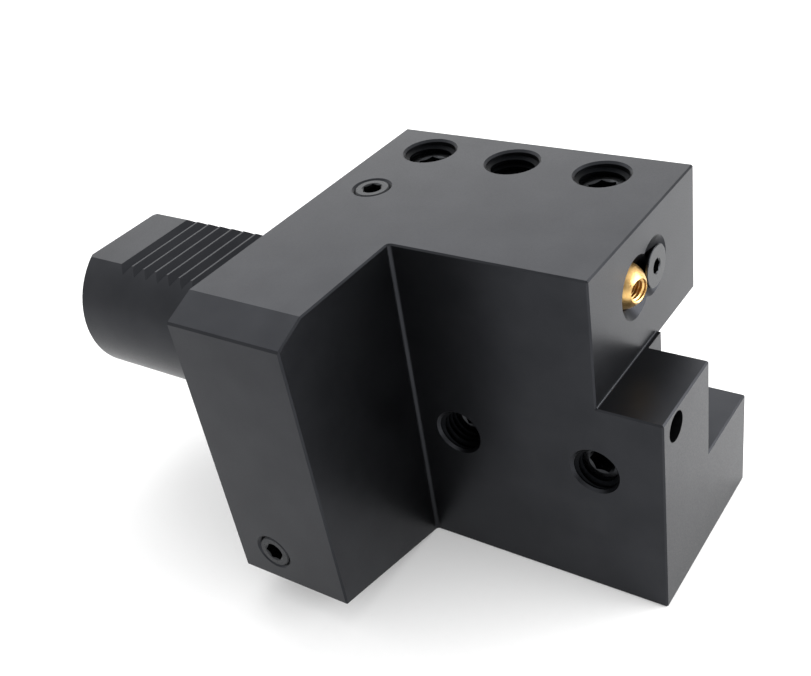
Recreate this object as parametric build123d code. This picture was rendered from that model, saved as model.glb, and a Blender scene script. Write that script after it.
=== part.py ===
from build123d import *
from build123d.topology import SkipClean
import math
import os

# Axial tool holder for a turret, millimetres.
# Origin on the shank's axis at the contact face, +X away from the shank, +Z up.
# The tool lies along X in a slot that is open at the back (+Y) and at the far end (+X).

# Shank: size 40, with a rack that the turret's wedge pulls on
shank_diameter = 40.0
shank_length = 63.0
shank_end_chamfer = 0.6
centre_hole_radius = 2.4
rack_flat_height = 16.0
rack_plain_length = 11.7
rack_pitch = 4.0
rack_depth = 1.7
rack_crest = 0.5
rack_groove_count = 7

# Block: an arm across the contact face, an upper jaw and a longer lower jaw
block_depth = 88.0
top_height = 33.5
bottom_drop = 45.0
arm_thickness = 29.0
jaw_depth = 51.0
jaw_reach = 73.5
nose_reach = 87.5
nose_step_depth = 23.6
ledge_height = 4.2
shoulder_length = 1.0
lower_jaw_relief = 5.0
arm_bevel_run = 7.9
arm_bevel_drop = 3.2
arm_underside_rise = 7.6
arm_end_lean = 1.8

# Tool slot for a square shank whose cutting edge comes up to the holder's axis
tool_size = 20.0
slot_headroom = 3.0
slot_depth = 21.3
slot_end_wall = 6.0
slot_corner_radius = 3.0

# Edges
edge_break = 0.35
arm_edge_chamfer = 0.4
arm_corner_radius = 0.9
ledge_corner_radius = 0.35

# Threads, drawn plain at their nominal radius
m12_radius = 6.0
m12_pitch = 1.75
m12_hex = 6.0
m10_radius = 5.0
m10_hex = 5.0
m8_radius = 4.0
m8_core_radius = 3.4
m8_hex = 4.0
m5_radius = 2.5
m5_hex = 3.0
m5_hex_depth = 1.8
thread_clearance = 0.05
screw_end_chamfer = 0.7

# Three clamping screw holes over the tool, the middle one empty
clamp_from_back = 9.7
clamp_first_x = 13.0
clamp_hole_spacing = 22.0
clamp_hole_count = 3
clamp_screw_length = 20.0
clamp_turns_to_tool = 6
clamp_countersink = 0.5

# Two setting screws through the front of the jaw, a little below the tool's middle
side_hole_first_x = 39.5
side_hole_spacing = 32.8
side_hole_above_seat = 7.8
side_screw_length = 20.0
side_inner_tip_setback = 3.5
side_outer_tip_setback = 6.2
side_countersink = 0.6

# Coolant: inlet and cross gallery low in the arm, riser, long gallery to the nozzle
gallery_x = 10.5
gallery_drop = 29.1
inlet_from_axis = 20.0
inlet_radius = 4.0
long_gallery_radius = 2.5
gallery_overrun = 2.0
plug_length = 8.0
plug_recess = 0.1
plug_thread_spare = 3.0
plug_countersink = 0.6
plug_end_chamfer = 0.3
nose_port_from_front = 6.1
nose_port_below_ledge = 4.3
nose_port_radius = 3.3
nose_port_depth = 25.0

# Nozzle: a brass ball held down by the cone of a countersunk screw
nozzle_from_back = 30.3
nozzle_below_top = 13.2
ball_radius = 5.0
ball_centre_depth = 3.2
ball_fit = 0.1
ball_front_cut = 0.65
ball_rear_cut = 0.5
ball_thread_depth = 5.5
ball_jet_radius = 1.5
nozzle_aim = 13.0
pocket_mouth_radius = 6.9
pocket_floor_depth = 3.6
nozzle_screw_rise = 0.5
nozzle_screw_cone_gap = 0.08
nozzle_screw_proud = 0.8
nozzle_screw_head_radius = 4.7
nozzle_screw_rim = 0.5
nozzle_screw_length = 16.0
nozzle_screw_thread_spare = 2.0
nozzle_screw_seat_radius = 6.5

# Seals
shank_seal_section = 3.0
shank_seal_proud = 0.4
shank_root_relief = 0.3
inlet_seal_section = 2.3
inlet_seal_proud = 0.3
nozzle_seal_radius = 3.3
nozzle_seal_section = 1.5
seal_gap = 0.05

# Places that follow from the sizes above
shank_radius = shank_diameter / 2
rack_end_x = -shank_length + rack_plain_length + rack_groove_count * rack_pitch
back_y = block_depth / 2
front_y = -block_depth / 2
jaw_front_y = back_y - jaw_depth
slot_wall_y = back_y - slot_depth
nose_step_y = jaw_front_y + nose_step_depth
lower_jaw_back_y = back_y - lower_jaw_relief
seat_z = -tool_size
ceiling_z = slot_headroom
clamp_y = back_y - clamp_from_back
tool_top_z = seat_z + tool_size
clamp_rest_tip_z = tool_top_z + clamp_turns_to_tool * m12_pitch
side_hole_z = seat_z + side_hole_above_seat
nozzle_y = back_y - nozzle_from_back
nozzle_z = top_height - nozzle_below_top
ball_x = jaw_reach - ball_centre_depth
pocket_radius = ball_radius + ball_fit
seal_reach = ball_radius + nozzle_seal_section / 2 + seal_gap
nozzle_seal_x = ball_x - math.sqrt(seal_reach**2 - nozzle_seal_radius**2)
nozzle_seat_x = nozzle_seal_x - nozzle_seal_section / 2
overcut = 5.0
mouth_overcut = 0.5
tolerance = 0.01
square_turn = 60.0
shortest_broken_edge = 2.0
upwards = (Align.CENTER, Align.CENTER, Align.MIN)
downwards = (Align.CENTER, Align.CENTER, Align.MAX)


def block(x_low, x_high, y_low, y_high, z_low, z_high):
    corner = (Align.MIN, Align.MIN, Align.MIN)
    size = Box(x_high - x_low, y_high - y_low, z_high - z_low, align=corner)
    return Pos(x_low, y_low, z_low) * size


def turned(profile_points):
    # Solid of revolution about +Z from (radius, height) points
    outline = Plane.XZ * make_face(Polyline(*profile_points, close=True))
    return revolve(outline, Axis.Z)


def drilled(start, direction, radius, depth):
    # Round cutter from a point on a face into the metal along a direction
    return Plane(start, z_dir=direction) * Cylinder(radius, depth, align=upwards)


def countersunk(start, direction, radius, width):
    # Cone that opens a hole's mouth by the given width at 45 degrees
    height = width + mouth_overcut
    cone = Cone(radius + height, radius, height, align=upwards)
    return Plane(start, z_dir=direction) * Pos(0, 0, -mouth_overcut) * cone


def torus(centre, section, ring_radius):
    return Plane(centre, z_dir=(1, 0, 0)) * Torus(ring_radius, section / 2)


def hex_socket(across_flats, depth):
    # Broached hexagon with the drilled cone at its bottom, opening at z = 0
    hexagon = RegularPolygon(across_flats / 2, 6, major_radius=False)
    drill_point = Cone(0, across_flats / 2, across_flats / 4, align=downwards)
    return extrude(hexagon, -depth) + Pos(0, 0, -depth) * drill_point


def set_screw(thread_radius, length, across_flats, end_chamfer):
    # Headless screw pointing down -Z with its top at z = 0
    outer = thread_radius - thread_clearance
    tip = outer - 2 * end_chamfer
    points = [
        (0, 0),
        (outer - end_chamfer, 0),
        (outer, -end_chamfer),
        (outer, -length + 2 * end_chamfer),
        (tip, -length),
        (0, -length),
    ]
    return turned(points) - hex_socket(across_flats, across_flats)


def rack_cutter():
    # Flat with a row of V grooves, drawn in the XZ plane and run across the shank
    start = -shank_length + rack_plain_length
    groove = rack_pitch - rack_crest
    clear = shank_radius + overcut
    points = [(-shank_length - overcut, clear), (-shank_length - overcut, rack_flat_height)]
    for index in range(rack_groove_count):
        groove_x = start + index * rack_pitch
        points.append((groove_x, rack_flat_height))
        points.append((groove_x + groove / 2, rack_flat_height - rack_depth))
        points.append((groove_x + groove, rack_flat_height))
    points.append((rack_end_x, rack_flat_height))
    points.append((rack_end_x + clear - rack_flat_height, clear))
    profile = Plane.XZ * make_face(Polyline(*points, close=True))
    return extrude(profile, shank_diameter, both=True)


def shank_lengths():
    # The shank's root and its rack, split where the rack begins so that each keeps a wall of its own
    blank = drilled((0, 0, 0), (-1, 0, 0), shank_radius, shank_length)
    blank = chamfer(blank.edges().sort_by(Axis.X)[0], shank_end_chamfer)
    centre_depth = centre_hole_radius * math.sqrt(3)
    centre = Cone(centre_hole_radius, 0, centre_depth, align=upwards)
    blank = blank - rack_cutter() - Plane((-shank_length, 0, 0), z_dir=(1, 0, 0)) * centre
    return split(blank, Plane((rack_end_x, 0, 0), z_dir=(1, 0, 0)), keep=Keep.BOTH).solids()


def arm():
    # Plate across the contact face, bevelled on top and cut up underneath towards its end
    points = [
        (jaw_front_y - arm_corner_radius, -bottom_drop),
        (back_y, -bottom_drop),
        (back_y, top_height),
        (front_y + arm_bevel_run, top_height),
        (front_y, top_height - arm_bevel_drop),
        (front_y + arm_end_lean, -bottom_drop + arm_underside_rise),
    ]
    plate = extrude(Plane.YZ * make_face(Polyline(*points, close=True)), arm_thickness)
    end_face = plate.faces().sort_by(Axis.Y)[0]
    return chamfer(end_face.edges(), arm_edge_chamfer)


def jaws():
    # Both jaws in side view, the lower one reaching further out
    points = [
        (0, -bottom_drop),
        (nose_reach, -bottom_drop),
        (nose_reach, ledge_height),
        (jaw_reach, ledge_height),
        (jaw_reach, top_height),
        (0, top_height),
    ]
    side = make_face(Polyline(*points, close=True))
    inner_corner = side.vertices().sort_by_distance((jaw_reach, ledge_height, 0))[0]
    side = fillet(inner_corner, ledge_corner_radius)
    return Pos(0, back_y, 0) * extrude(Plane.XZ * side, jaw_depth)


def jaw_cutters():
    # The tool's slot, the clear end of the upper jaw, the seat in front of it and the lower jaw's relief
    out_x = nose_reach + overcut
    out_y = back_y + overcut
    out_z = top_height + overcut
    slot = block(slot_end_wall, out_x, slot_wall_y, out_y, seat_z, ceiling_z)
    slot = fillet(slot.edges().filter_by(Axis.Y).group_by(Axis.X)[0], slot_corner_radius)
    end_clearance = block(jaw_reach, out_x, slot_wall_y, out_y, seat_z, out_z)
    seat = block(jaw_reach + shoulder_length, out_x, nose_step_y, out_y, seat_z, out_z)
    relief = block(arm_thickness, out_x, lower_jaw_back_y, out_y, -bottom_drop - overcut, seat_z)
    return [slot, end_clearance, seat, relief]


def on_plane(edge, axis_index, value):
    # True where both ends of an edge lie at the given coordinate
    ends = (edge @ 0, edge @ 1)
    return all(abs(tuple(point)[axis_index] - value) < tolerance for point in ends)


def outer_edges(solid):
    # Straight outer edges where two faces meet squarely, apart from the thin lip beside the seat
    faces = solid.faces()
    chosen = []
    for edge in solid.edges().filter_by(GeomType.LINE):
        first, second = [face for face in faces if edge in face.edges()]
        turn = first.normal_at(edge @ 0.5).get_angle(second.normal_at(edge @ 0.5))
        lip_front = on_plane(edge, 0, jaw_reach + shoulder_length)
        lip_back = on_plane(edge, 1, slot_wall_y) and on_plane(edge, 2, ledge_height)
        square = turn > square_turn and edge.length > shortest_broken_edge
        if square and not lip_front and not lip_back and not edge.is_interior:
            chosen.append(edge)
    return chosen


def clamp_hole_places():
    places = [clamp_first_x + index * clamp_hole_spacing for index in range(clamp_hole_count)]
    return [(x, clamp_y, top_height) for x in places]


def side_hole_places():
    places = (side_hole_first_x, side_hole_first_x + side_hole_spacing)
    return [(x, jaw_front_y, side_hole_z) for x in places]


def screw_holes():
    # Clamping holes down into the slot and setting screw holes back into its wall
    cutters = []
    for place in clamp_hole_places():
        cutters.append(drilled(place, (0, 0, -1), m12_radius, top_height - tool_top_z + mouth_overcut))
        cutters.append(countersunk(place, (0, 0, -1), m12_radius, clamp_countersink))
    for place in side_hole_places():
        cutters.append(drilled(place, (0, 1, 0), m10_radius, slot_wall_y - jaw_front_y + mouth_overcut))
        cutters.append(countersunk(place, (0, 1, 0), m10_radius, side_countersink))
    return cutters


def arm_end_y(height):
    # The arm's end face leans in towards its foot
    face_height = top_height - arm_bevel_drop + bottom_drop - arm_underside_rise
    return front_y + arm_end_lean * (top_height - arm_bevel_drop - height) / face_height


def plugged_drilling(start, direction, length):
    # Core drilling with a threaded and countersunk mouth for a set screw plug
    thread_depth = plug_recess + plug_length + plug_thread_spare
    return [
        drilled(start, direction, m8_core_radius, length),
        drilled(start, direction, m8_radius, thread_depth),
        countersunk(start, direction, m8_radius, plug_countersink),
    ]


def galleries():
    # Inlet, cross gallery, riser and long gallery, which meet in the arm
    riser_length = top_height + gallery_drop + gallery_overrun
    riser = plugged_drilling((gallery_x, nozzle_y, top_height), (0, 0, -1), riser_length)
    mouth_y = arm_end_y(-gallery_drop)
    cross_length = nozzle_y - mouth_y + gallery_overrun
    cross = plugged_drilling((gallery_x, mouth_y, -gallery_drop), (0, 1, 0), cross_length)
    inlet_mouth = (0, -inlet_from_axis, -gallery_drop)
    inlet = drilled(inlet_mouth, (1, 0, 0), inlet_radius, gallery_x)
    seal_seat_radius = inlet_radius + inlet_seal_section + seal_gap
    inlet_seat = drilled(inlet_mouth, (1, 0, 0), seal_seat_radius, inlet_seal_section - inlet_seal_proud)
    gallery_start = (nozzle_seat_x, nozzle_y, nozzle_z)
    long_gallery = drilled(gallery_start, (-1, 0, 0), long_gallery_radius, nozzle_seat_x - gallery_x)
    port_start = (nose_reach, jaw_front_y + nose_port_from_front, ledge_height - nose_port_below_ledge)
    nose_port = drilled(port_start, (-1, 0, 0), nose_port_radius, nose_port_depth)
    return riser + cross + [inlet, inlet_seat, long_gallery, nose_port]


def nozzle_screw_offset():
    # Distance from ball to screw at which the head's cone just clears the ball
    rim_above_ball = nozzle_screw_proud - nozzle_screw_rim + ball_centre_depth
    cone_apex_reach = nozzle_screw_head_radius - rim_above_ball
    return cone_apex_reach + (ball_radius + nozzle_screw_cone_gap) * math.sqrt(2)


def nozzle_screw_place():
    across = math.sqrt(nozzle_screw_offset() ** 2 - nozzle_screw_rise**2)
    return (jaw_reach + nozzle_screw_proud, nozzle_y + across, nozzle_z + nozzle_screw_rise)


def nozzle_pocket():
    # Bevelled pocket for the ball, a smaller seat for its seal, and the screw's countersunk hole
    mouth = (jaw_reach, nozzle_y, nozzle_z)
    seal_seat_radius = nozzle_seal_radius + nozzle_seal_section / 2 + seal_gap
    pocket = drilled(mouth, (-1, 0, 0), pocket_radius, ball_centre_depth + pocket_floor_depth)
    bevel = countersunk(mouth, (-1, 0, 0), pocket_radius, pocket_mouth_radius - pocket_radius)
    seal_seat = drilled(mouth, (-1, 0, 0), seal_seat_radius, jaw_reach - nozzle_seat_x)
    _, screw_y, screw_z = nozzle_screw_place()
    screw_mouth = (jaw_reach, screw_y, screw_z)
    thread_depth = nozzle_screw_length - nozzle_screw_proud + nozzle_screw_thread_spare
    screw_hole = drilled(screw_mouth, (-1, 0, 0), m5_radius, thread_depth)
    screw_seat = countersunk(screw_mouth, (-1, 0, 0), m5_radius, nozzle_screw_seat_radius - m5_radius)
    return [pocket, bevel, seal_seat, screw_hole, screw_seat]


def shank_seal_recess():
    # Ring recess in the contact face, undercut a little at the root of the shank
    depth = shank_seal_section - shank_seal_proud
    outer = shank_radius + shank_seal_section + 2 * seal_gap
    inner = shank_radius - shank_root_relief
    return drilled((0, 0, 0), (1, 0, 0), outer, depth) - drilled((0, 0, 0), (1, 0, 0), inner, depth)


def block_with_slot():
    # Arm and jaws as one block, with its inner corner rounded and its outer edges broken
    solid = arm() + jaws()
    for cutter in jaw_cutters():
        solid = solid - cutter
    corner = solid.edges().filter_by(Axis.Z).sort_by_distance((arm_thickness, jaw_front_y, 0))[0]
    solid = fillet(corner, arm_corner_radius)
    return chamfer(outer_edges(solid), edge_break)


def holder_body():
    solid = block_with_slot() - shank_seal_recess()
    for cutter in screw_holes() + galleries() + nozzle_pocket():
        solid = solid - cutter
    with SkipClean():
        for length in shank_lengths():
            solid = solid + length
    return solid


def clamp_screw(place):
    top_z = clamp_rest_tip_z + clamp_screw_length
    screw = set_screw(m12_radius, clamp_screw_length, m12_hex, screw_end_chamfer)
    return Pos(place[0], place[1], top_z) * screw


def side_screw(place, tip_setback):
    head_y = slot_wall_y - tip_setback - side_screw_length
    screw = set_screw(m10_radius, side_screw_length, m10_hex, screw_end_chamfer)
    return Plane((place[0], head_y, place[2]), z_dir=(0, -1, 0)) * screw


def plug():
    return set_screw(m8_radius, plug_length, m8_hex, plug_end_chamfer)


def top_channel_plug():
    return Pos(gallery_x, nozzle_y, top_height - plug_recess) * plug()


def arm_channel_plug():
    place = (gallery_x, arm_end_y(-gallery_drop) + plug_recess, -gallery_drop)
    return Plane(place, z_dir=(0, -1, 0)) * plug()


def nozzle_ball():
    # Ball with a flat front, a thread for a pipe and a jet hole, turned to its resting aim
    bore_top = ball_radius - ball_front_cut
    ball = Sphere(ball_radius)
    ball = ball - Pos(0, 0, bore_top) * Cylinder(ball_radius, ball_radius, align=upwards)
    rear = Pos(0, 0, ball_rear_cut - ball_radius)
    ball = ball - rear * Cylinder(ball_radius, ball_radius, align=downwards)
    ball = ball - drilled((0, 0, bore_top), (0, 0, -1), m5_radius, ball_thread_depth)
    ball = ball - Cylinder(ball_jet_radius, 3 * ball_radius)
    aim = math.radians(nozzle_aim)
    direction = (math.cos(aim), -math.sin(aim), 0)
    return Plane((ball_x, nozzle_y, nozzle_z), z_dir=direction) * ball


def nozzle_clamp_screw():
    # Countersunk screw pointing down -Z, its head's top at z = 0
    outer = m5_radius - thread_clearance
    cone_drop = nozzle_screw_head_radius - outer
    points = [
        (0, 0),
        (nozzle_screw_head_radius, 0),
        (nozzle_screw_head_radius, -nozzle_screw_rim),
        (outer, -nozzle_screw_rim - cone_drop),
        (outer, -nozzle_screw_length + screw_end_chamfer),
        (outer - screw_end_chamfer, -nozzle_screw_length),
        (0, -nozzle_screw_length),
    ]
    screw = turned(points) - hex_socket(m5_hex, m5_hex_depth)
    return Plane(nozzle_screw_place(), z_dir=(1, 0, 0)) * screw


def shank_seal_ring():
    ring_radius = shank_radius + shank_seal_section / 2 + seal_gap
    centre_x = shank_seal_section / 2 - shank_seal_proud
    return torus((centre_x, 0, 0), shank_seal_section - seal_gap, ring_radius)


def inlet_seal_ring():
    ring_radius = inlet_radius + inlet_seal_section / 2
    centre_x = inlet_seal_section / 2 - inlet_seal_proud
    return torus((centre_x, -inlet_from_axis, -gallery_drop), inlet_seal_section - seal_gap, ring_radius)


def nozzle_seal_ring():
    centre = (nozzle_seal_x, nozzle_y, nozzle_z)
    return torus(centre, nozzle_seal_section - seal_gap, nozzle_seal_radius)


def all_nodes():
    clamp_rear, _, clamp_front = clamp_hole_places()
    side_inner, side_outer = side_hole_places()
    return {
        "holder_body": holder_body(),
        "shank_seal_ring": shank_seal_ring(),
        "inlet_seal_ring": inlet_seal_ring(),
        "clamp_screw_rear": clamp_screw(clamp_rear),
        "clamp_screw_front": clamp_screw(clamp_front),
        "side_screw_inner": side_screw(side_inner, side_inner_tip_setback),
        "side_screw_outer": side_screw(side_outer, side_outer_tip_setback),
        "top_channel_plug": top_channel_plug(),
        "arm_channel_plug": arm_channel_plug(),
        "nozzle_ball": nozzle_ball(),
        "nozzle_seal_ring": nozzle_seal_ring(),
        "nozzle_clamp_screw": nozzle_clamp_screw(),
    }


os.makedirs("parts", exist_ok=True)
for name, solid in all_nodes().items():
    export_step(solid, f"parts/{name}.step")
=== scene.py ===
from collections import namedtuple
import math
import bmesh
import bpy
from mathutils import Matrix, Vector


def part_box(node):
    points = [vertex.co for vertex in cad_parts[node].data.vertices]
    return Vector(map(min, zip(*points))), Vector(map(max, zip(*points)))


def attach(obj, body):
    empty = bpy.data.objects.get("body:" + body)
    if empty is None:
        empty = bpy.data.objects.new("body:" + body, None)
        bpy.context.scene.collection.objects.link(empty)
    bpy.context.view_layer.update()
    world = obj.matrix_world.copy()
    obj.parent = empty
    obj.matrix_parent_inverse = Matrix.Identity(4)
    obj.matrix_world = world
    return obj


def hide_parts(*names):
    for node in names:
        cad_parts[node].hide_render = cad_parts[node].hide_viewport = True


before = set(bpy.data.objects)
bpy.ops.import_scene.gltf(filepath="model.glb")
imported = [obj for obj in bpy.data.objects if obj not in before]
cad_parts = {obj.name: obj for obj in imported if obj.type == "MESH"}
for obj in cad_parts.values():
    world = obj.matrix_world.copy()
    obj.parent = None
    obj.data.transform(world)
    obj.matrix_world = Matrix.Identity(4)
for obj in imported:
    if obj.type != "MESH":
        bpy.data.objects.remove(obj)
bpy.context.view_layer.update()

# Axial tool holder for a turret, standing on its base face.
# Lengths are in millimetres until a mesh is placed, which turns them into metres.
mm = 0.001
whole_turn = 2 * math.pi
up = (0, 0, 1)
front = (0, -1, 0)
back = (0, 1, 0)
far = (1, 0, 0)

# Camera, as the photograph was taken
camera_place = (155.892, -163.560, 140.306)
camera_right = (0.824685, 0.546747, -0.144784)
camera_up = (-0.201768, 0.523538, 0.827767)
camera_lens = 49.67
camera_sensor = 36.0
camera_clip_start = 10.0

# Metric threads: nominal radius, pitch and width of the key
Thread = namedtuple("Thread", "radius pitch key")
m12 = Thread(6.0, 1.75, 6.0)
m10 = Thread(5.0, 1.5, 5.0)
m8 = Thread(4.0, 1.25, 4.0)
m5 = Thread(2.5, 0.8, 3.0)

# Thread profile, as shares of the pitch
screw_depth_share = 0.58
screw_crest_share = 0.125
hole_depth_share = 0.53
hole_crest_share = 0.25
flank_slope = math.tan(math.radians(30))
thread_clearance = 0.05
thread_embed = 0.06
steps_per_turn = 48
runout_turns = 0.35
runout_end_scale = 0.02

# Screws
ring_points = 48
edge_bevel = 0.15
screw_end_chamfer = 0.7
plug_end_chamfer = 0.3
socket_lead = 0.12
socket_lead_slope = 0.6
socket_point_share = 0.25
nozzle_head_rim = 0.5
nozzle_socket_depth = 1.8
crease_angle = math.radians(28)

# Threaded holes of the holder
clamp_hole_first = (13.0, 34.3, 33.5)
clamp_hole_spacing = 22.0
clamp_hole_count = 3
clamp_hole_depth = 30.5
clamp_countersink = 0.5
side_hole_first = (39.5, -7.0, -12.2)
side_hole_spacing = 32.8
side_hole_count = 2
side_hole_depth = 29.7
side_countersink = 0.6
hole_margin_share = 0.25

# Nozzle ball: its centre, how far it is turned at rest, and its levels along the bore
ball_centre = (70.3, 13.7, 20.3)
ball_aim = math.radians(13.0)
ball_radius = 5.0
ball_mouth_bevel = 0.12
ball_thread_end = -1.15
ball_rear = -4.5
ball_jet_radius = 1.5
ball_arc_steps = 28

# Surfaces: the middle of a noise, which is spread over the whole range, and the turning rings
# on the brass ball
noise_low = 0.3
noise_high = 0.7
patch_detail = 3.0
grain_detail = 2.0
grain_height = 0.01
ring_width = 0.35
ring_distortion = 0.4
metal = {"Metallic": 1.0}
matt = {"Specular IOR Level": 0.0}
nitrile_index = {"IOR": 1.52}

# Studio
middle = (35.0, 0.0, 0.0)
floor_level = -45.0
floor_reach = 6000.0
floor_glow = 0.2
room_strength = 1.0
card_place = (590.0, -340.0, 330.0)
card_width = 650.0
card_height = 600.0

# Softboxes, the last of which lights the floor that the faces at +X mirror
Softbox = namedtuple("Softbox", "name place aim width height radiance")
softboxes = (
    Softbox("back_softbox", (-450.0, 720.0, 420.0), middle, 900.0, 700.0, 1.0),
    Softbox("top_softbox", (-350.0, 450.0, 800.0), middle, 700.0, 500.0, 2.85),
    Softbox("upper_left_softbox", (-650.0, 100.0, 750.0), middle, 500.0, 500.0, 0.9),
    Softbox("left_softbox", (-900.0, -150.0, 500.0), middle, 700.0, 600.0, 0.45),
    Softbox("floor_softbox", (420.0, 150.0, 100.0), (150.0, 60.0, -45.0), 360.0, 300.0, 7.0),
)


def add_node(tree, kind, settings=None, inputs=None):
    """Adds a node, sets its properties, and gives each input a value or a link."""
    node = tree.nodes.new(kind)
    for name, value in (settings or {}).items():
        setattr(node, name, value)
    for socket, value in (inputs or {}).items():
        if isinstance(value, bpy.types.NodeSocket):
            tree.links.new(value, node.inputs[socket])
        else:
            node.inputs[socket].default_value = value
    return node


def linear(hex_colour):
    """Linear RGBA of an sRGB hex colour."""
    channels = [int(hex_colour[index : index + 2], 16) / 255 for index in (1, 3, 5)]
    curve = [c / 12.92 if c <= 0.04045 else ((c + 0.055) / 1.055) ** 2.4 for c in channels]
    return (*curve, 1.0)


def worked_surface(name, colours, patch_mm, roughness, grain_mm, relief, fixed):
    """Material whose colour wanders between two over patches, and whose gloss does over a grain."""
    material = bpy.data.materials.new(name)
    material.use_nodes = True
    tree = material.node_tree
    tree.nodes.clear()
    place = add_node(tree, "ShaderNodeTexCoord").outputs["Object"]
    patch_inputs = {"Vector": place, "Scale": 1 / (patch_mm * mm), "Detail": patch_detail}
    patches = add_node(tree, "ShaderNodeTexNoise", inputs=patch_inputs)
    share_inputs = {"Value": patches.outputs["Fac"], "From Min": noise_low, "From Max": noise_high}
    share = add_node(tree, "ShaderNodeMapRange", inputs=share_inputs)
    mix_inputs = {0: share.outputs["Result"], 6: linear(colours[0]), 7: linear(colours[1])}
    colour = add_node(tree, "ShaderNodeMix", {"data_type": "RGBA"}, mix_inputs)
    grain_inputs = {"Vector": place, "Scale": 1 / (grain_mm * mm), "Detail": grain_detail}
    grain = add_node(tree, "ShaderNodeTexNoise", inputs=grain_inputs)
    gloss_inputs = {
        "Value": grain.outputs["Fac"],
        "From Min": noise_low,
        "From Max": noise_high,
        "To Min": roughness[0],
        "To Max": roughness[1],
    }
    gloss = add_node(tree, "ShaderNodeMapRange", inputs=gloss_inputs)
    bump_inputs = {"Height": grain.outputs["Fac"], "Strength": relief}
    bump_inputs["Distance"] = grain_height * mm
    bump = add_node(tree, "ShaderNodeBump", inputs=bump_inputs)
    surface_inputs = {
        "Base Color": colour.outputs[2],
        "Roughness": gloss.outputs["Result"],
        "Normal": bump.outputs["Normal"],
        **fixed,
    }
    surface = add_node(tree, "ShaderNodeBsdfPrincipled", inputs=surface_inputs)
    add_node(tree, "ShaderNodeOutputMaterial", inputs={"Surface": surface.outputs["BSDF"]})
    return material


def ground_black_oxide_steel():
    # Case-hardened steel, ground and then black oxidised: a smooth satin skin that shows the room
    # as soft dark greys, with faint clouds left by the bath. The grit's marks are about 0.05 mm
    # wide and drawn at 0.3 mm, so that they still show as a fine even grain
    return worked_surface(
        "ground_black_oxide_steel",
        colours=("#2d2e31", "#323336"),
        patch_mm=9.0,
        roughness=(0.33, 0.41),
        grain_mm=0.3,
        relief=0.06,
        fixed=metal,
    )


def tapped_steel_painted_hole_shade():
    # Threads that a tap cut into the block before it was black oxidised, duller than the ground faces.
    # Their colour is made darker than the ground faces as painted shade, for the dark inside the holes
    return worked_surface(
        "tapped_steel_painted_hole_shade",
        colours=("#0e0f11", "#141517"),
        patch_mm=0.6,
        roughness=(0.46, 0.56),
        grain_mm=0.3,
        relief=0.15,
        fixed=metal,
    )


def blackened_screw_steel():
    # Rolled and blackened alloy steel: glossier than the block and unevenly dark from the bath
    return worked_surface(
        "blackened_screw_steel",
        colours=("#2e2f31", "#363739"),
        patch_mm=0.4,
        roughness=(0.26, 0.36),
        grain_mm=0.4,
        relief=0.08,
        fixed=metal,
    )


def turned_brass():
    # Free-cutting brass, finely turned: warm gold with a soft sheen and the faint rings of the
    # tool. The rings lie about 0.06 mm apart and are drawn wider, so that they show
    material = worked_surface(
        "turned_brass",
        colours=("#d8ad69", "#e3be80"),
        patch_mm=0.5,
        roughness=(0.31, 0.39),
        grain_mm=0.5,
        relief=0.05,
        fixed=metal,
    )
    tree = material.node_tree
    place = add_node(tree, "ShaderNodeTexCoord").outputs["Object"]
    centre_inputs = {"Vector": place, "Location": [-c * mm for c in ball_centre]}
    centred = add_node(tree, "ShaderNodeMapping", inputs=centre_inputs)
    ring_settings = {"wave_type": "RINGS", "rings_direction": "X", "wave_profile": "SIN"}
    ring_scale = 1 / (ring_width * mm) / whole_turn
    ring_inputs = {"Vector": centred.outputs["Vector"], "Scale": ring_scale}
    ring_inputs["Distortion"] = ring_distortion
    rings = add_node(tree, "ShaderNodeTexWave", ring_settings, ring_inputs)
    tree.links.new(rings.outputs["Fac"], tree.nodes["Bump"].inputs["Height"])
    return material


def moulded_nitrile():
    # Moulded nitrile rubber: dull black with a slight bloom
    return worked_surface(
        "moulded_nitrile",
        colours=("#17181a", "#222325"),
        patch_mm=0.6,
        roughness=(0.45, 0.6),
        grain_mm=0.6,
        relief=0.1,
        fixed=nitrile_index,
    )


def seen_directly(tree):
    """1 for rays from the camera and for those that a mirror or glass passes on, otherwise 0."""
    path = add_node(tree, "ShaderNodeLightPath").outputs
    maximum = {"operation": "MAXIMUM"}
    first_inputs = {0: path["Is Camera Ray"], 1: path["Is Glossy Ray"]}
    first = add_node(tree, "ShaderNodeMath", maximum, first_inputs)
    both_inputs = {0: first.outputs[0], 1: path["Is Transmission Ray"]}
    return add_node(tree, "ShaderNodeMath", maximum, both_inputs).outputs[0]


def studio_paper():
    # Matt white background paper: even, with a faint tooth
    material = worked_surface(
        "studio_paper",
        colours=("#e6e6e6", "#eaeaea"),
        patch_mm=1.5,
        roughness=(0.85, 0.9),
        grain_mm=1.5,
        relief=0.05,
        fixed=matt,
    )
    tree = material.node_tree
    surface = tree.nodes["Principled BSDF"]
    surface.inputs["Emission Color"].default_value = linear("#ffffff")
    glow_inputs = {0: seen_directly(tree), 1: floor_glow}
    glow = add_node(tree, "ShaderNodeMath", {"operation": "MULTIPLY"}, glow_inputs)
    tree.links.new(glow.outputs[0], surface.inputs["Emission Strength"])
    return material


def matt_grey_card():
    # Matt grey card beside the camera, which gives the brass its darker side
    return worked_surface(
        "matt_grey_card",
        colours=("#7a7a7a", "#808080"),
        patch_mm=1.5,
        roughness=(0.85, 0.9),
        grain_mm=1.5,
        relief=0.05,
        fixed=matt,
    )


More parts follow.
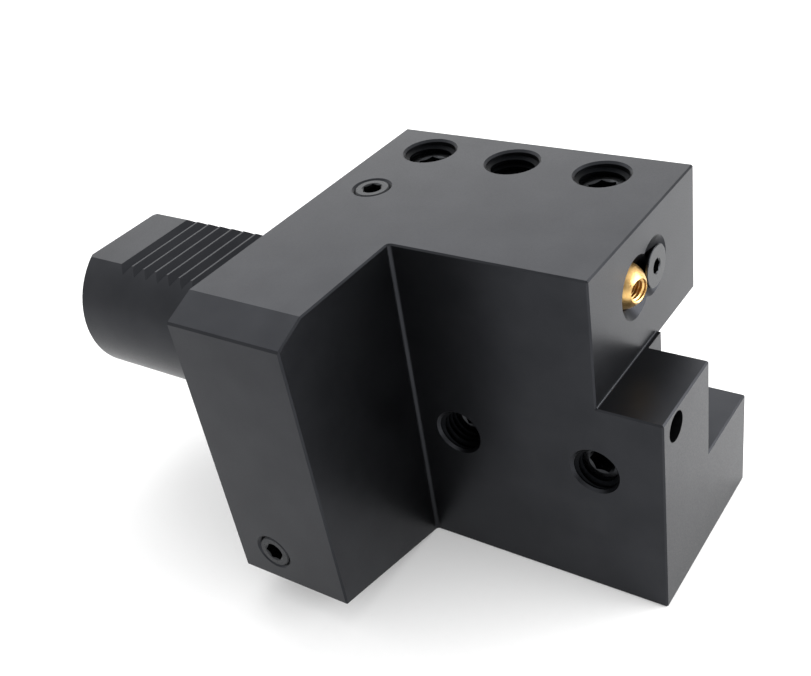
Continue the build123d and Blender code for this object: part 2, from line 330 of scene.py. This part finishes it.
thread_inputs = {
    "Radius": "NodeSocketFloat",
    "Turns": "NodeSocketFloat",
    "Climb": "NodeSocketFloat",
    "Steps per turn": "NodeSocketInt",
    "Profile height": "NodeSocketFloat",
    "Profile inner width": "NodeSocketFloat",
    "Profile outer width": "NodeSocketFloat",
    "Profile lift": "NodeSocketVector",
    "Runout turns": "NodeSocketFloat",
    "Start": "NodeSocketVector",
    "Start angle": "NodeSocketVector",
    "Copies": "NodeSocketInt",
    "Step": "NodeSocketVector",
    "Material": "NodeSocketMaterial",
}


def thread_tree():
    """Right-hand helical ridge along +Z, which fades out at both ends and is repeated in a row."""
    tree = bpy.data.node_groups.new("thread_ridge", "GeometryNodeTree")
    for name, kind in thread_inputs.items():
        tree.interface.new_socket(name, in_out="INPUT", socket_type=kind)
    tree.interface.new_socket("Geometry", in_out="OUTPUT", socket_type="NodeSocketGeometry")
    given = add_node(tree, "NodeGroupInput").outputs
    spiral_inputs = {
        "Resolution": given["Steps per turn"],
        "Rotations": given["Turns"],
        "Start Radius": given["Radius"],
        "End Radius": given["Radius"],
        "Height": given["Climb"],
        "Reverse": True,
    }
    spiral = add_node(tree, "GeometryNodeCurveSpiral", inputs=spiral_inputs)
    upright_inputs = {"Curve": spiral.outputs["Curve"]}
    upright = add_node(tree, "GeometryNodeSetCurveNormal", {"mode": "Z_UP"}, upright_inputs)
    profile_inputs = {
        "Height": given["Profile height"],
        "Bottom Width": given["Profile inner width"],
        "Top Width": given["Profile outer width"],
        "Offset": 0.0,
    }
    trapezoid = {"mode": "TRAPEZOID"}
    profile = add_node(tree, "GeometryNodeCurvePrimitiveQuadrilateral", trapezoid, profile_inputs)
    lift_inputs = {
        "Geometry": profile.outputs["Curve"],
        "Rotation": (0.0, 0.0, -whole_turn / 4),
        "Translation": given["Profile lift"],
    }
    lifted = add_node(tree, "GeometryNodeTransform", inputs=lift_inputs)
    along = add_node(tree, "GeometryNodeSplineParameter").outputs["Factor"]
    # 0 at both ends of the ridge and a half in its middle
    end_share = add_node(tree, "ShaderNodeMath", {"operation": "PINGPONG"}, {0: along, 1: 0.5})
    end_inputs = {0: end_share.outputs[0], 1: given["Turns"]}
    end_turns = add_node(tree, "ShaderNodeMath", {"operation": "MULTIPLY"}, end_inputs)
    fade_inputs = {"Value": end_turns.outputs[0], "From Max": given["Runout turns"]}
    fade_inputs["To Min"] = runout_end_scale
    fade = add_node(tree, "ShaderNodeMapRange", inputs=fade_inputs)
    sweep_inputs = {
        "Curve": upright.outputs["Curve"],
        "Profile Curve": lifted.outputs["Geometry"],
        "Scale": fade.outputs["Result"],
        "Fill Caps": True,
    }
    ridge = add_node(tree, "GeometryNodeCurveToMesh", inputs=sweep_inputs)
    start_inputs = {
        "Geometry": ridge.outputs["Mesh"],
        "Translation": given["Start"],
        "Rotation": given["Start angle"],
    }
    started = add_node(tree, "GeometryNodeTransform", inputs=start_inputs)
    row_inputs = {"Count": given["Copies"], "Offset": given["Step"]}
    row = add_node(tree, "GeometryNodeMeshLine", inputs=row_inputs)
    copy_inputs = {"Points": row.outputs["Mesh"], "Instance": started.outputs["Geometry"]}
    copies = add_node(tree, "GeometryNodeInstanceOnPoints", inputs=copy_inputs)
    real_inputs = {"Geometry": copies.outputs["Instances"]}
    real = add_node(tree, "GeometryNodeRealizeInstances", inputs=real_inputs)
    finish_inputs = {"Geometry": real.outputs["Geometry"], "Material": given["Material"]}
    finish = add_node(tree, "GeometryNodeSetMaterial", inputs=finish_inputs)
    add_node(tree, "NodeGroupOutput", inputs={0: finish.outputs["Geometry"]})
    return tree


def thread_ridge(material, wall, height, crest, pitch, low, high, phase, copies=1, spacing=0.0):
    """Mesh of a ridge on a round wall; a negative height grows inwards."""
    side = math.copysign(1.0, height)
    tall = abs(height) + thread_embed
    base = crest + 2 * tall * flank_slope
    turns = (high - low) / pitch
    values = {
        "Radius": wall,
        "Turns": turns,
        "Climb": high - low,
        "Steps per turn": steps_per_turn,
        "Profile height": tall,
        "Profile inner width": base if height > 0 else crest,
        "Profile outer width": crest if height > 0 else base,
        "Profile lift": (side * (tall / 2 - thread_embed), 0.0, 0.0),
        "Runout turns": runout_turns,
        "Start": (0.0, 0.0, low),
        "Start angle": (0.0, 0.0, whole_turn * (low / pitch + phase)),
        "Copies": copies,
        "Step": (spacing, 0.0, 0.0),
        "Material": material,
    }
    maker = bpy.data.objects.new("maker", bpy.data.meshes.new("maker"))
    bpy.context.scene.collection.objects.link(maker)
    modifier = maker.modifiers.new("thread", "NODES")
    modifier.node_group = thread_maker
    for item in thread_maker.interface.items_tree:
        if item.in_out == "INPUT":
            modifier[item.identifier] = values[item.name]
    depsgraph = bpy.context.evaluated_depsgraph_get()
    mesh = bpy.data.meshes.new_from_object(maker.evaluated_get(depsgraph), depsgraph=depsgraph)
    bpy.data.objects.remove(maker)
    return mesh


def screw_thread(thread, low, high):
    """Thread of a screw between two levels."""
    depth = screw_depth_share * thread.pitch
    core = thread.radius - thread_clearance - depth
    crest = screw_crest_share * thread.pitch
    return thread_ridge(screw_steel, core, depth, crest, thread.pitch, low, high, 0.0)


def hole_thread(material, thread, low, high, copies=1, spacing=0.0):
    """Thread of a hole between two levels, half a pitch away from its screw's."""
    wall = thread.radius
    pitch = thread.pitch
    depth = -hole_depth_share * pitch
    crest = hole_crest_share * pitch
    return thread_ridge(material, wall, depth, crest, pitch, low, high, 0.5, copies, spacing)


def angles():
    """Angles of the points of a ring."""
    return [whole_turn * index / ring_points for index in range(ring_points)]


def circle(radius, level):
    """Round ring at a level."""
    return [Vector((radius * math.cos(a), radius * math.sin(a), level)) for a in angles()]


def hexagon_radius(across_flats, angle):
    """How far a hexagon's side lies from its centre at an angle."""
    side_angle = angle % (whole_turn / 6) - whole_turn / 12
    return across_flats / 2 / math.cos(side_angle)


def hexagon(across_flats, level):
    """Six-sided ring at a level, with as many points as a round one."""
    radii = [hexagon_radius(across_flats, a) for a in angles()]
    return [Vector((r * math.cos(a), r * math.sin(a), level)) for a, r in zip(angles(), radii)]


def socket_lead_edge(across_flats, lead_radius, level):
    """Curved edge where the lead-in cone meets the six walls of the socket."""
    edge = []
    for angle in angles():
        radius = hexagon_radius(across_flats, angle)
        drop = (lead_radius - radius) * socket_lead_slope
        edge.append(Vector((radius * math.cos(angle), radius * math.sin(angle), level - drop)))
    return edge


def socket(across_flats, depth, head):
    """Rings of a hexagon socket from the head's face down, and the level of its drilled point."""
    lead_radius = hexagon_radius(across_flats, 0.0) + socket_lead
    rings = [
        circle(lead_radius, head),
        socket_lead_edge(across_flats, lead_radius, head),
        hexagon(across_flats, head - depth),
        circle(across_flats / 2, head - depth - edge_bevel * socket_point_share),
    ]
    return rings, head - depth - across_flats * socket_point_share


def skin(mesh, rings, low_pole=None, high_pole=None):
    """Adds a surface over rings. Poles close its two ends, and without them it closes on itself."""
    loops = [[mesh.verts.new(point) for point in ring] for ring in rings]
    pairs = list(zip(loops, loops[1:]))
    if low_pole is None:
        pairs.append((loops[-1], loops[0]))
    for first, second in pairs:
        for index in range(ring_points):
            after = (index + 1) % ring_points
            mesh.faces.new((first[index], first[after], second[after], second[index]))
    for loop, level in ((loops[0], low_pole), (loops[-1], high_pole)):
        if level is not None:
            pole = mesh.verts.new((0, 0, level))
            for index in range(ring_points):
                mesh.faces.new((loop[index], loop[(index + 1) % ring_points], pole))


def placed(place, outward, along):
    """Matrix that puts a piece built in millimetres round +Z at a place, in metres."""
    axis = Vector(outward)
    across = Vector(along)
    turn = Matrix((across, axis.cross(across), axis)).transposed().to_4x4()
    return Matrix.Scale(mm, 4) @ Matrix.Translation(place) @ turn


def add_piece(name, body, material, mesh, thread, matrix, replaced=None):
    """Finished piece from its own faces and its thread, riding on a body."""
    mesh.from_mesh(thread)
    bpy.data.meshes.remove(thread)
    bmesh.ops.recalc_face_normals(mesh, faces=mesh.faces)
    mesh.transform(matrix)
    data = bpy.data.meshes.new(name)
    mesh.to_mesh(data)
    mesh.free()
    data.materials.clear()
    data.materials.append(material)
    for face in data.polygons:
        face.material_index = 0
    data.shade_smooth()
    data.set_sharp_from_angle(angle=crease_angle)
    piece = bpy.data.objects.new(name, data)
    bpy.context.scene.collection.objects.link(piece)
    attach(piece, body)
    if replaced:
        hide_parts(replaced)


def levels(node, place, outward):
    """How far a node's tip and head lie from a place, along an outward axis."""
    reaches = [(Vector(corner) / mm - Vector(place)).dot(Vector(outward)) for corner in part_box(node)]
    return min(reaches), max(reaches)


def set_screw(node, body, place, outward, thread, end_chamfer):
    """Headless screw that replaces its plain node."""
    tip, head = levels(node, place, outward)
    outer = thread.radius - thread_clearance
    core = outer - screw_depth_share * thread.pitch
    tip_chamfer = 2 * end_chamfer
    tip_radius = min(outer - tip_chamfer, core - edge_bevel)
    rim_back = (outer - core) * flank_slope
    rings = [
        circle(tip_radius, tip),
        circle(core, tip + core - tip_radius),
        circle(core, head - end_chamfer - rim_back),
        circle(outer, head - end_chamfer),
        circle(outer - end_chamfer, head),
    ]
    socket_rings, point = socket(thread.key, thread.key, head)
    mesh = bmesh.new()
    skin(mesh, rings + socket_rings, tip, point)
    ridge = screw_thread(thread, tip + tip_chamfer, head - end_chamfer)
    matrix = placed(place, outward, far)
    add_piece(node + "_threaded", body, screw_steel, mesh, ridge, matrix, node)


def nozzle_screw():
    """Countersunk screw with its thread."""
    low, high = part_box("nozzle_clamp_screw")
    place = (0.0, (low.y + high.y) / 2 / mm, (low.z + high.z) / 2 / mm)
    tip, head = levels("nozzle_clamp_screw", place, far)
    head_radius = (high.z - low.z) / 2 / mm
    core = m5.radius - thread_clearance - screw_depth_share * m5.pitch
    cone_end = head - nozzle_head_rim - (head_radius - core)
    rings = [
        circle(core - screw_end_chamfer, tip),
        circle(core, tip + screw_end_chamfer),
        circle(core, cone_end),
        circle(head_radius, head - nozzle_head_rim),
        circle(head_radius, head - edge_bevel),
        circle(head_radius - edge_bevel, head),
    ]
    socket_rings, point = socket(m5.key, nozzle_socket_depth, head)
    mesh = bmesh.new()
    skin(mesh, rings + socket_rings, tip, point)
    ridge = screw_thread(m5, tip + screw_end_chamfer, cone_end)
    matrix = placed(place, far, back)
    node = "nozzle_clamp_screw"
    add_piece(node + "_threaded", node, screw_steel, mesh, ridge, matrix, node)


def hole_threads(name, place, outward, thread, countersink, depth, count, spacing):
    """Threads of a row of holes."""
    margin = hole_margin_share * thread.pitch
    low = margin - depth
    # The threads' darker colour is painted shade, for the dark inside the holes
    ridge = hole_thread(hole_thread_steel_painted_shade, thread, low, -countersink - margin, count, spacing)
    matrix = placed(place, outward, far)
    add_piece(name, "holder", hole_thread_steel_painted_shade, bmesh.new(), ridge, matrix)


def bored_ball():
    """Brass ball with its threaded bore and jet hole."""
    mouth_radius = m5.radius + ball_mouth_bevel
    first = math.asin(mouth_radius / ball_radius)
    last = math.acos(ball_rear / ball_radius)
    rings = []
    for index in range(ball_arc_steps + 1):
        angle = first + (last - first) * index / ball_arc_steps
        rings.append(circle(ball_radius * math.sin(angle), ball_radius * math.cos(angle)))
    mouth = ball_radius * math.cos(first) - ball_mouth_bevel
    rings += [
        circle(ball_jet_radius, ball_rear),
        circle(ball_jet_radius, ball_thread_end),
        circle(m5.radius, ball_thread_end),
        circle(m5.radius, mouth),
    ]
    mesh = bmesh.new()
    skin(mesh, rings)
    ridge = hole_thread(brass, m5, ball_thread_end, mouth)
    outward = (math.cos(ball_aim), -math.sin(ball_aim), 0)
    matrix = placed(ball_centre, outward, up)
    node = "nozzle_ball"
    add_piece(node + "_threaded", node, brass, mesh, ridge, matrix, node)


def sheet(name, width, height, material, matrix):
    """Flat sheet of the studio, built round the origin and then placed."""
    mesh = bmesh.new()
    bmesh.ops.create_grid(mesh, x_segments=1, y_segments=1, size=0.5)
    mesh.transform(matrix @ Matrix.Diagonal((width * mm, height * mm, 1.0, 1.0)))
    data = bpy.data.meshes.new(name)
    mesh.to_mesh(data)
    mesh.free()
    data.materials.append(material)
    piece = bpy.data.objects.new(name, data)
    bpy.context.scene.collection.objects.link(piece)
    return piece


def facing(place, aim):
    """Matrix that puts something at a place in millimetres and turns its -Z to an aim."""
    turn = (Vector(aim) - Vector(place)).to_track_quat("-Z", "Y").to_matrix().to_4x4()
    return Matrix.Translation(Vector(place) * mm) @ turn


def add_softbox(softbox):
    """Rectangular diffuser that shines with an even radiance."""
    light = bpy.data.lights.new(softbox.name, "AREA")
    light.shape = "RECTANGLE"
    light.size = softbox.width * mm
    light.size_y = softbox.height * mm
    light.energy = softbox.radiance * math.pi * light.size * light.size_y
    lamp = bpy.data.objects.new(softbox.name, light)
    lamp.matrix_world = facing(softbox.place, softbox.aim)
    bpy.context.scene.collection.objects.link(lamp)


# Finishes
block_steel = ground_black_oxide_steel()
# Threads in the holes: their darker colour is painted shade of the holes' insides
hole_thread_steel_painted_shade = tapped_steel_painted_hole_shade()
screw_steel = blackened_screw_steel()
brass = turned_brass()
rubber = moulded_nitrile()
node_finishes = {
    "holder_body": block_steel,
    "nozzle_ball": brass,
    "shank_seal_ring": rubber,
    "inlet_seal_ring": rubber,
    "nozzle_seal_ring": rubber,
}
for node_name, finish in node_finishes.items():
    for material_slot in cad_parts[node_name].material_slots:
        material_slot.material = finish

# Threads and screws
thread_maker = thread_tree()
hole_threads(
    "clamp_hole_threads",
    clamp_hole_first,
    up,
    m12,
    clamp_countersink,
    clamp_hole_depth,
    clamp_hole_count,
    clamp_hole_spacing,
)
hole_threads(
    "side_hole_threads",
    side_hole_first,
    front,
    m10,
    side_countersink,
    side_hole_depth,
    side_hole_count,
    side_hole_spacing,
)
for index, node_name in ((0, "clamp_screw_rear"), (2, "clamp_screw_front")):
    hole_place = Vector(clamp_hole_first) + index * clamp_hole_spacing * Vector(far)
    set_screw(node_name, node_name, hole_place, up, m12, screw_end_chamfer)
for index, node_name in enumerate(("side_screw_inner", "side_screw_outer")):
    hole_place = Vector(side_hole_first) + index * side_hole_spacing * Vector(far)
    set_screw(node_name, node_name, hole_place, front, m10, screw_end_chamfer)
for node_name, outward in (("top_channel_plug", up), ("arm_channel_plug", front)):
    plug_low, plug_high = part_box(node_name)
    set_screw(node_name, "holder", (plug_low + plug_high) / 2 / mm, outward, m8, plug_end_chamfer)
nozzle_screw()
bored_ball()

# Floor, room and lights
on_floor = Matrix.Translation((0, 0, floor_level * mm))
sheet("floor", floor_reach, floor_reach, studio_paper(), on_floor)
card_turn = facing(card_place, middle)
card = sheet("camera_side_card", card_width, card_height, matt_grey_card(), card_turn)
# The card shows in reflections alone
card.visible_camera = False
card.visible_diffuse = False
card.visible_shadow = False

world = bpy.data.worlds.new("room")
bpy.context.scene.world = world
world.use_nodes = True
world.node_tree.nodes.clear()
room_inputs = {"Color": linear("#ffffff"), "Strength": room_strength}
room = add_node(world.node_tree, "ShaderNodeBackground", inputs=room_inputs)
add_node(world.node_tree, "ShaderNodeOutputWorld", inputs={"Surface": room.outputs["Background"]})

for softbox in softboxes:
    add_softbox(softbox)

camera_data = bpy.data.cameras.new("camera")
camera_data.lens = camera_lens
camera_data.sensor_width = camera_sensor
camera_data.clip_start = camera_clip_start * mm
camera = bpy.data.objects.new("camera", camera_data)
camera_axis = Vector(camera_right).cross(Vector(camera_up))
camera_turn = Matrix((camera_right, camera_up, camera_axis)).transposed().to_4x4()
camera.matrix_world = Matrix.Translation(Vector(camera_place) * mm) @ camera_turn
bpy.context.scene.collection.objects.link(camera)
bpy.context.scene.camera = camera
bpy.context.scene.view_settings.view_transform = "Standard"
